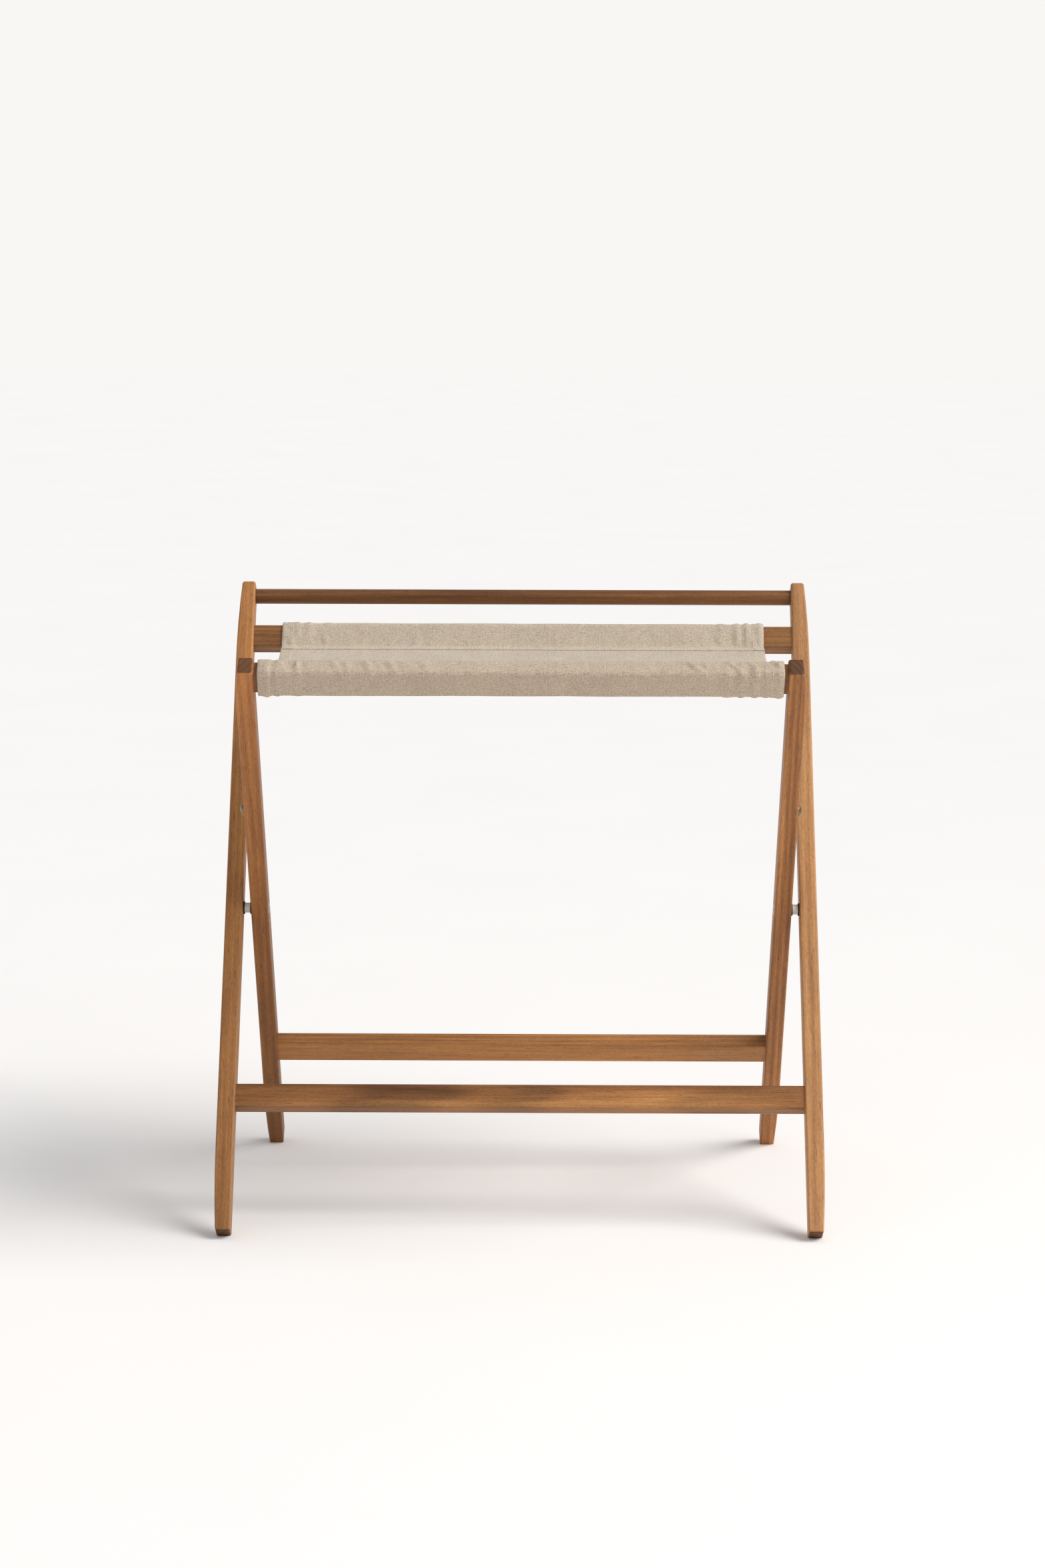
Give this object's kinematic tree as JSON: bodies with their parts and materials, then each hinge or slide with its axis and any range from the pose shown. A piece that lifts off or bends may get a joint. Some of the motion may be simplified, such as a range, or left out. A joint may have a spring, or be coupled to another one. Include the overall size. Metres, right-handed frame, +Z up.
{
  "type": "folding luggage rack",
  "caption": "Folding wooden luggage rack: two crossed frames on a pivot, a cloth sling between their top rails, and a dowel handle.",
  "frame": {"origin": "on the floor, in the middle of the bounding box, with the rack open", "axes": "+Z up; +Y towards the back, where the handle is; +X to the right as seen from the front"},
  "size_m": [0.65, 0.4476, 0.6557],
  "materials": {
    "leg_wood": "oiled hardwood, satin, with streaked grain along the leg",
    "rail_wood": "oiled hardwood, satin, slightly darker than the legs",
    "handle_wood": "turned hardwood dowel, oiled",
    "pin_wood": "plain beech dowel pins, fluted, hidden in the joints",
    "canvas": "natural oatmeal canvas of flax and cotton, plain weave",
    "bolt_steel": "satin steel",
    "washer_metal": "blackened steel",
    "spacer_nylon": "natural white nylon",
    "bumper_metal": "dark bronze, glossy dome"
  },
  "bodies": {
    "tall_frame": {"handle_dowel": "handle_wood", "rear_sling_rail": "rail_wood", "front_stretcher": "rail_wood", "tall_frame_dowel_pins": "pin_wood", "sling_rear_tunnel": "canvas", "sling_panel": "canvas", "tall_leg_left": "leg_wood", "pivot_bolt_left": "bolt_steel", "sleeve_nut_left": "bolt_steel", "outer_washer_left": "washer_metal", "pivot_spacer_left": "spacer_nylon", "tall_leg_right": "leg_wood", "pivot_bolt_right": "bolt_steel", "sleeve_nut_right": "bolt_steel", "outer_washer_right": "washer_metal", "pivot_spacer_right": "spacer_nylon"},
    "short_frame": {"front_sling_rail": "rail_wood", "rear_stretcher": "rail_wood", "short_frame_dowel_pins": "pin_wood", "sling_front_tunnel": "canvas", "short_leg_left": "leg_wood", "inner_washer_left": "washer_metal", "bumper_left": "bumper_metal", "short_leg_right": "leg_wood", "inner_washer_right": "washer_metal", "bumper_right": "bumper_metal"}
  },
  "joints": [
    {"name": "fold", "type": "hinge", "parent": "tall_frame", "child": "short_frame", "pos_m": [0, -0.00719, 0.31643], "axis": [-1, 0, 0], "range_deg": [0, 61], "deforming": ["sling_panel"]}
  ]
}
